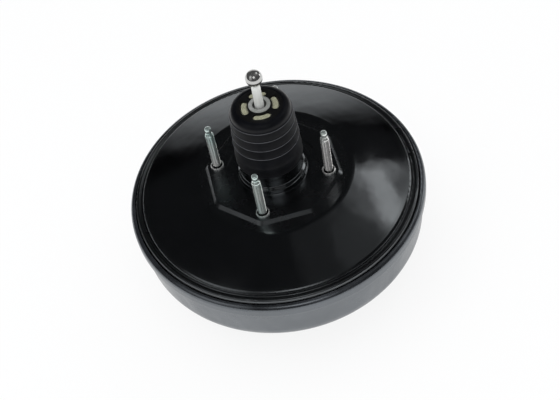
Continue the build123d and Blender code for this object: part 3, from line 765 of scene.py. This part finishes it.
def bootOutline(facts):
    bandTop = facts["bandTop"]
    slope = (facts["topR"] - facts["bodyR"]) / (facts["topZ"] - bandTop)
    bodyAt = lambda z: facts["bodyR"] + slope * (z - bandTop)
    line = [*facts["lip"], *facts["band"], (facts["bodyR"], bandTop)]
    stops = [bandTop, *facts["ridges"]]
    half = facts["ridgeHalf"]
    steps = facts["ridgeSteps"]
    for low, high in zip(stops, stops[1:]):
        start = low + (half if low != bandTop else 0)
        end = high - half
        for i in range(1, steps):
            share = i / steps
            z = start + (end - start) * share
            line.append((bodyAt(z) - facts["hollow"] * sin(pi * share), z))
        for i in range(steps + 1):
            share = i / steps
            z = high - half + 2 * half * share
            swell = facts["ridgeHigh"] * sin(pi * share) ** facts["ridgeSharp"]
            line.append((bodyAt(z) + swell, z))
    shoulder = facts["shoulder"]
    line += arcPoints(facts["topR"] - shoulder, facts["topZ"] - shoulder, shoulder, 0, 90, 10)
    top, edge, depth = facts["topZ"], facts["boreEdge"], facts["discDepth"]
    line += [(r, top - down) for r, down in facts["discGroove"]]
    line += [(facts["boreR"] + edge, top - depth), (facts["boreR"], top - depth - edge)]
    under = top - facts["topWall"]
    innerR = facts["topR"] - facts["wall"]
    soft = facts["insideRound"]
    line += [(facts["boreR"], under), (innerR - soft, under), (innerR, under - soft)]
    line += [(facts["bodyR"] - facts["wall"], facts["bodyInsideLow"]), facts["bandInside"]]
    return line


def kidneyCutter(facts, turn):
    # a bar with round ends, bent round the axis, that cuts one window
    half = radians(facts["windowSpan"] / 2)
    mid = facts["windowR"]
    wide = facts["windowWide"] / 2
    steps, endSteps = facts["windowSteps"], facts["windowEndSteps"]
    ring = []
    for i in range(steps + 1):
        angle = -half + 2 * half * i / steps
        ring.append(((mid + wide) * cos(angle), (mid + wide) * sin(angle)))
    for end in (half, -half):
        centre = Vector((mid * cos(end), mid * sin(end)))
        first = end if end > 0 else end + pi
        for i in range(1, endSteps):
            angle = first + pi * i / endSteps
            ring.append((centre.x + wide * cos(angle), centre.y + wide * sin(angle)))
        if end > 0:
            for i in range(steps + 1):
                angle = half - 2 * half * i / steps
                ring.append(((mid - wide) * cos(angle), (mid - wide) * sin(angle)))
    low = facts["topZ"] - facts["topWall"] - 1
    high = facts["topZ"] + 1
    spin = radians(turn)
    flat = [(x * cos(spin) - y * sin(spin), x * sin(spin) + y * cos(spin)) for x, y in ring]
    count = len(flat)
    points = [(x, y, low) for x, y in flat] + [(x, y, high) for x, y in flat]
    faces = [tuple(reversed(range(count))), tuple(range(count, 2 * count))]
    faces += [(i, (i + 1) % count, (i + 1) % count + count, i + count) for i in range(count)]
    return addMesh("kidneyCutter", points, faces)


def buildBoot(facts):
    piece = turnedPiece("dustBoot", bootOutline(facts), 192, 40)
    for index in range(4):
        cutter = kidneyCutter(facts, facts["windowTurn"] + 90 * index)
        cut = piece.modifiers.new("window", "BOOLEAN")
        cut.operation = "DIFFERENCE"
        cut.solver = "EXACT"
        cut.object = cutter
        applied(piece)
        bpy.data.objects.remove(cutter)
    edge = piece.modifiers.new("softEdges", "BEVEL")
    edge.width = facts["windowEdge"] * mm
    edge.segments = 2
    edge.limit_method = "ANGLE"
    edge.angle_limit = radians(50)
    applied(piece)
    smoothMesh(piece.data, 40)
    paint(piece, finishes["bootRubber"])
    # faces on the ridge crests get the second slot, the painted highlight
    piece.data.materials.append(finishes["bootCrestPaintedHighlight"])
    for face in piece.data.polygons:
        outside = face.center.xy.length > (facts["topR"] - facts["wall"] / 2) * mm
        near = min(abs(face.center.z / mm - ridge) for ridge in facts["ridges"])
        if outside and near < facts["crestHighlightHalf"]:
            face.material_index = 1
    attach(piece, "housing")
    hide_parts("dust_boot")
    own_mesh(piece)


buildBoot(boot)
print("dust boot built")


# Felt air filter: a fuzzy ring with loose fibres on top, pressed up into the boot's windows
felt = {
    "innerR": 8.9,
    "outerR": 17.0,
    "lowZ": 66.0,
    "topZ": 82.55,
    "round": 1.0,
    "fuzz": 0.12,
    "fuzzMix": (12.9898, 43758.5453),
    "fibres": 520,
    "fibreR": 0.055,
    "fibreLong": (1.2, 3.4),
    "fibreBend": 0.9,
    "fibreTop": 82.74,
    "seed": 11,
    "bulge": 1.45,
    "bulgeEase": 0.9,
    "bulgeGap": 0.25,
}


def addFibre(points, faces, facts, pick):
    # a thin curved strand that lies on the ring's top, three-sided
    heading = pick.uniform(0, 2 * pi)
    reach = facts["fibreLong"][1] / 2
    middleR = pick.uniform(facts["innerR"] + reach, facts["outerR"] - reach)
    around = pick.uniform(0, 2 * pi)
    long = pick.uniform(*facts["fibreLong"])
    bend = pick.uniform(-facts["fibreBend"], facts["fibreBend"])
    high = pick.uniform(0.02, facts["fibreTop"] - facts["topZ"] - facts["fibreR"])
    rings = 4
    for ring in range(rings + 1):
        along = ring / rings - 0.5
        angle = heading + bend * along
        x = middleR * cos(around) + long * along * cos(angle)
        y = middleR * sin(around) + long * along * sin(angle)
        droop = 4 * along * along
        z = facts["topZ"] + high * (1 - droop) - facts["fibreR"] * droop
        z += bulgeAt(facts, x, y)
        for side in range(3):
            turn = 2 * pi * side / 3
            out, up = facts["fibreR"] * cos(turn), facts["fibreR"] * sin(turn)
            points.append((x - out * sin(angle), y + out * cos(angle), z + up))
    base = len(points) - 3 * (rings + 1)
    for ring in range(rings):
        for side in range(3):
            i = base + 3 * ring + side
            j = base + 3 * ring + (side + 1) % 3
            faces.append((i, j, j + 3, i + 3))
    tip = base + 3 * rings
    faces += [(base + 2, base + 1, base), (tip, tip + 1, tip + 2)]


def bulgeAt(facts, x, y):
    # how far the felt swells into the boot's kidney windows
    radius = (x * x + y * y) ** 0.5
    turn = atan2(y, x) - radians(boot["windowTurn"])
    turn -= pi / 2 * round(turn / (pi / 2))
    past = max(abs(turn) - radians(boot["windowSpan"] / 2), 0) * boot["windowR"]
    away = ((radius - boot["windowR"]) ** 2 + past ** 2) ** 0.5
    inside = (boot["windowWide"] / 2 - facts["bulgeGap"] - away) / facts["bulgeEase"]
    share = min(max(inside, 0), 1)
    return facts["bulge"] * share * share * (3 - 2 * share)


def buildFelt(facts):
    soft = facts["round"]
    low, top = facts["lowZ"], facts["topZ"]
    inner, outer = facts["innerR"], facts["outerR"]
    outline = arcPoints(outer - soft, low + soft, soft, -90, 0, 4)
    outline += [(outer, low + (top - low) * i / 12) for i in range(2, 11)]
    outline += arcPoints(outer - soft, top - soft, soft, 0, 90, 4)
    outline += [(outer + (inner - outer) * i / 24, top) for i in range(3, 22)]
    outline += arcPoints(inner + soft, top - soft, soft, 90, 180, 4)
    outline += [(inner, top + (low - top) * i / 12) for i in range(2, 11)]
    outline += arcPoints(inner + soft, low + soft, soft, 180, 270, 4)
    piece = turnedPiece("feltFilter", outline, 240, 80)
    mixTurn, mixScale = facts["fuzzMix"]
    for index, point in enumerate(piece.data.vertices):
        if point.co.z > (top - 0.1) * mm:
            point.co.z += bulgeAt(facts, point.co.x / mm, point.co.y / mm) * mm
        wave = sin(index * mixTurn) * mixScale
        point.co -= point.normal * (wave - int(wave)) * facts["fuzz"] * mm
    points = []
    faces = []
    pick = Random(facts["seed"])
    for _ in range(facts["fibres"]):
        addFibre(points, faces, facts, pick)
    fibres = addMesh("feltFibres", points, faces, 80)
    for part, name in ((piece, "air_filter"), (fibres, None)):
        paint(part, finishes["filterFelt"])
        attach(part, "power_piston")
        if name:
            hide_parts(name)


buildFelt(felt)
print("felt filter built")


# Coil springs with closed, ground ends
springs = {
    "returnSpring": {
        "node": "return_spring", "body": "housing", "joint": "boost_stroke", "stroke": 38.0,
        "wire": 3.8, "lowR": 25.6, "highR": 42.0, "turns": 6.6,
        "stepsPerTurn": 56, "sides": 12, "endPitch": 0.96, "easeTurns": 0.5, "endCut": 0.45,
    },
    "rodSpring": {
        "node": "rod_spring", "body": "power_piston", "joint": "valve_opening", "stroke": 1.8,
        "wire": 1.8, "lowR": 12.0, "highR": 12.0, "turns": 5.4,
        "stepsPerTurn": 40, "sides": 10, "endPitch": 0.96, "easeTurns": 0.5, "endCut": 0.45,
    },
}


def coilHeights(facts, height):
    # the first and last turn lie almost flat, the pitch eases in between them
    count = int(facts["turns"] * facts["stepsPerTurn"])
    flat = facts["wire"] * facts["endPitch"] / facts["stepsPerTurn"]
    ease = facts["easeTurns"]
    climbs = []
    for i in range(count):
        away = min(i, count - 1 - i) / facts["stepsPerTurn"]
        share = min(max((away - ease) / ease, 0), 1)
        climbs.append(share * share * (3 - 2 * share))
    extra = (height - flat * count) / sum(climbs)
    heights = [0.0]
    for climb in climbs:
        heights.append(heights[-1] + flat + extra * climb)
    return heights


def buildSpring(name, facts):
    low, high = (corner[2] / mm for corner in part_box(facts["node"]))
    radius = facts["wire"] / 2
    cut = radius * facts["endCut"]
    heights = coilHeights(facts, high - low - 2 * cut)
    span = heights[-1]
    points = []
    sides = facts["sides"]
    for step, height in enumerate(heights):
        angle = 2 * pi * step / facts["stepsPerTurn"]
        coilR = facts["lowR"] + (facts["highR"] - facts["lowR"]) * height / span
        for side in range(sides):
            turn = 2 * pi * side / sides
            r = coilR + radius * cos(turn)
            z = low + cut + height + radius * sin(turn)
            points.append((r * cos(angle), r * sin(angle), min(max(z, low), high)))
    faces = [tuple(reversed(range(sides))), tuple(range(len(points) - sides, len(points)))]
    for step in range(len(heights) - 1):
        for side in range(sides):
            i = step * sides + side
            j = step * sides + (side + 1) % sides
            faces.append((i, j, j + sides, i + sides))
    piece = addMesh(name, points, faces, 50)
    paint(piece, finishes["springSteel"])
    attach(piece, facts["body"])
    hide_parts(facts["node"])
    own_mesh(piece)


for springName, springFacts in springs.items():
    buildSpring(springName, springFacts)
print("springs built")


# Diaphragm: hub bead, web, rolling fold and rim bead in one rubber moulding. The shells
# clamp it at holdZ, and at moveZ it goes with the plate
diaphragm = {
    "wall": 1.6,
    "webZ": -11.0,
    "flatR": 74.0,
    "foldInR": 115.7,
    "foldOutR": 132.6,
    "foldTopZ": -20.0,
    "foldLowZ": -39.0,
    "bends": (7.6, 3.2, 6.5, 6.5),
    "hubBead": [
        (30.3, -12.6), (30.3, -9.0), (30.7, -8.6), (34.0, -8.6), (34.4, -9.0), (34.4, -11.0),
    ],
    "rimBead": [
        (132.6, -30.9), (132.8, -30.7), (132.8, -27.25), (133.8, -27.25), (137.4, -28.65),
        (138.4, -28.65), (138.8, -29.05), (138.8, -34.25), (138.4, -34.65), (134.2, -34.65),
    ],
    "division": 3.0,
    "holdZ": -26.0,
    "moveZ": -20.2,
}


def roundedLine(corners, bends, division):
    # straight runs divided, and an arc at each inner corner
    corners = [Vector(corner) for corner in corners]
    line = [corners[0]]
    for index, bend in enumerate(bends):
        before, corner, after = corners[index:index + 3]
        inward = (before - corner).normalized()
        outward = (after - corner).normalized()
        half = inward.angle(outward) / 2
        centre = corner + (inward + outward).normalized() * bend / sin(half)
        first = corner + inward * bend / tan(half)
        last = corner + outward * bend / tan(half)
        parts = max(1, round((first - line[-1]).length / division))
        start = line[-1]
        line += [start.lerp(first, i / parts) for i in range(1, parts + 1)]
        for i in range(1, 7):
            way = (first - centre).lerp(last - centre, i / 6).normalized()
            line.append(centre + way * bend)
    parts = max(1, round((corners[-1] - line[-1]).length / division))
    start = line[-1]
    return line + [start.lerp(corners[-1], i / parts) for i in range(1, parts + 1)]


def sheetBelow(line, wall):
    # the other face of a sheet whose wall lies to the right of the line
    other = []
    for i, point in enumerate(line):
        ahead = line[min(i + 1, len(line) - 1)] - line[max(i - 1, 0)]
        other.append(point + Vector((ahead.y, -ahead.x)).normalized() * wall)
    return other


def buildDiaphragm(facts):
    corners = [
        (facts["hubBead"][-1][0], facts["webZ"]), (facts["flatR"], facts["webZ"]),
        (facts["foldInR"], facts["foldTopZ"]), (facts["foldInR"], facts["foldLowZ"]),
        (facts["foldOutR"], facts["foldLowZ"]),
        (facts["foldOutR"], facts["rimBead"][0][1]),
    ]
    line = roundedLine(corners, facts["bends"], facts["division"])
    below = sheetBelow(line, facts["wall"])
    outline = facts["hubBead"] + [tuple(point) for point in line[1:-1]] + facts["rimBead"]
    outline += [tuple(point) for point in reversed(below[:-1])]
    piece = turnedPiece("diaphragmRubber", outline, 128, 40)
    paint(piece, finishes["blackRubber"])
    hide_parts("diaphragm")
    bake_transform(piece)


buildDiaphragm(diaphragm)
print("diaphragm built")


# Studs: head, collar with a groove whose black is painted shade, rolled M8 thread, neck and dog
# point
stud = {
    "pitch": 1.25,
    "crestR": 4.0,
    "rootR": 3.6,
    "turnSteps": 36,
    "shankSteps": 72,
    "threadForm": [(0.0, 1), (0.125, 1), (0.45, 0), (0.675, 0)],  # pitch share, height
    "threadGap": (0.4, 0.9),
    "shoulderR": 6.25,
    "shoulderHigh": 2.0,
    # outer radius of the painted shade in the collar's groove
    "grooveShadeR": 4.95,
    "headR": 8.6,
    "headHigh": 3.0,
    "headLow": -3.6,
    "dogLength": 7.6,
    "dogNeck": 2.0,
    "dogNeckR": 2.5,
    "dogR": 2.9,
    "rearLength": 52.6,
    "frontLength": 30.0,
    "rearHalf": 37.5,
    "frontHalf": 40.0,
    "bossZ": -92.15,
}


def threadPoints(facts, low, high):
    # rows that follow the thread's own helix, cut off level at both ends
    steps = facts["turnSteps"]
    pitch = facts["pitch"]
    depth = facts["crestR"] - facts["rootR"]
    form = facts["threadForm"]
    turns = int((high - low) / pitch) + 3
    rows = [(turn + share, crest) for turn in range(-1, turns) for share, crest in form]
    points = []
    for along, crest in rows:
        for step in range(steps):
            z = low + pitch * (along + step / steps)
            inside = min(max(z, low), high)
            fade = min(1, (inside - low) / pitch, (high - inside) / pitch)
            r = facts["rootR"] + depth * crest * max(fade, 0)
            angle = 2 * pi * step / steps
            points.append((r * cos(angle), r * sin(angle), inside))
    faces = []
    perTurn = len(form)
    seam = 1 - steps + perTurn * steps  # the last step of a row meets the row one turn on
    for row in range(len(rows) - 1):
        for step in range(steps):
            here = row * steps + step
            above = here + steps
            if step < steps - 1:
                faces.append((here, here + 1, above + 1, above))
            elif row + perTurn + 1 < len(rows):
                faces.append((here, here + seam, above + seam, above))
    return points, faces


def studShank(facts, length):
    # outlines below and above the thread, and where the thread starts and ends
    gapLow, gapHigh = facts["threadGap"]
    shankEnd = length - facts["dogLength"]
    dogStart = shankEnd + facts["dogNeck"]
    shoulder = facts["shoulderHigh"]
    foot = [
        (0.01, facts["headLow"] - facts["headHigh"]),
        (facts["headR"] - 0.5, facts["headLow"] - facts["headHigh"]),
        (facts["headR"], facts["headLow"] - facts["headHigh"] + 0.5),
        (facts["headR"], facts["headLow"]),
        (facts["shoulderR"], facts["headLow"]),
        (facts["shoulderR"], shoulder - 0.5),
        (facts["shoulderR"] - 0.25, shoulder - 0.15),
        (facts["shoulderR"] - 0.7, shoulder),
        (facts["shoulderR"] - 1.1, shoulder - 0.2),
        (facts["shoulderR"] - 1.5, shoulder - 0.8),
        (facts["crestR"] + 0.3, shoulder - 1.5),
        (facts["rootR"] + 0.2, shoulder - 1.6),
        (facts["rootR"] + 0.1, shoulder + gapLow),
    ]
    point = [
        (facts["rootR"], shankEnd - gapHigh),
        (facts["dogNeckR"] + 0.2, shankEnd),
        (facts["dogNeckR"], shankEnd + 0.3),
        (facts["dogNeckR"], dogStart - 0.3),
        (facts["dogR"] - 0.15, dogStart + 0.3),
        (facts["dogR"], dogStart + 0.7),
        (facts["dogR"], length - 1.2),
        (facts["dogR"] - 0.35, length - 0.55),
        (facts["dogR"] - 1.0, length - 0.1),
        (facts["dogR"] - 1.4, length),
        (0.01, length),
    ]
    return foot, point, shoulder + gapLow, shankEnd - gapHigh


def turnedRows(rows, steps, base):
    # open rings of points from an outline, and faces that count from base
    points = []
    faces = []
    for r, z in rows:
        for step in range(steps):
            angle = 2 * pi * step / steps
            points.append((r * cos(angle), r * sin(angle), z))
    for row in range(len(rows) - 1):
        for step in range(steps):
            here = base + row * steps + step
            nextOne = base + row * steps + (step + 1) % steps
            faces.append((here, nextOne, nextOne + steps, here + steps))
    return points, faces


def buildStud(name, nodeName, facts, length, placeXY, faceZ, way):
    foot, point, low, high = studShank(facts, length)
    points, faces = threadPoints(facts, low, high)
    for rows in (foot, point):
        more, moreFaces = turnedRows(rows, facts["shankSteps"], len(points))
        points += more
        faces += moreFaces
    middleX, middleY = placeXY
    points = [(x + middleX, way * y + middleY, faceZ + way * z) for x, y, z in points]
    piece = addMesh(name, points, faces, 30)
    paint(piece, finishes["zincPlate"])
    # the groove between collar and thread gets the black shell paint as painted shade
    piece.data.materials.append(finishes["blackShell"])
    for face in piece.data.polygons:
        away = (face.center.to_2d() - Vector(placeXY) * mm).length
        height = (face.center.z - faceZ * mm) * way
        inShadedGroove = facts["rootR"] * mm < away < facts["grooveShadeR"] * mm
        if inShadedGroove and 0 < height < facts["shoulderHigh"] * mm:
            face.material_index = 1
    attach(piece, "housing")
    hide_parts(nodeName)


half = stud["rearHalf"]
rearPlaces = [(-half, -half), (-half, half), (half, -half), (half, half)]
frontPlaces = [(-stud["frontHalf"], 0), (stud["frontHalf"], 0)]
studSets = [
    ("rear", rearPlaces, stud["rearLength"], 0, 1),
    ("front", frontPlaces, stud["frontLength"], stud["bossZ"], -1),
]
for end, places, length, faceZ, way in studSets:
    for number, spot in enumerate(places, 1):
        buildStud(f"{end}Stud{number}", f"{end}_stud_{number}", stud, length, spot, faceZ, way)
print("studs built")


print("scene built")
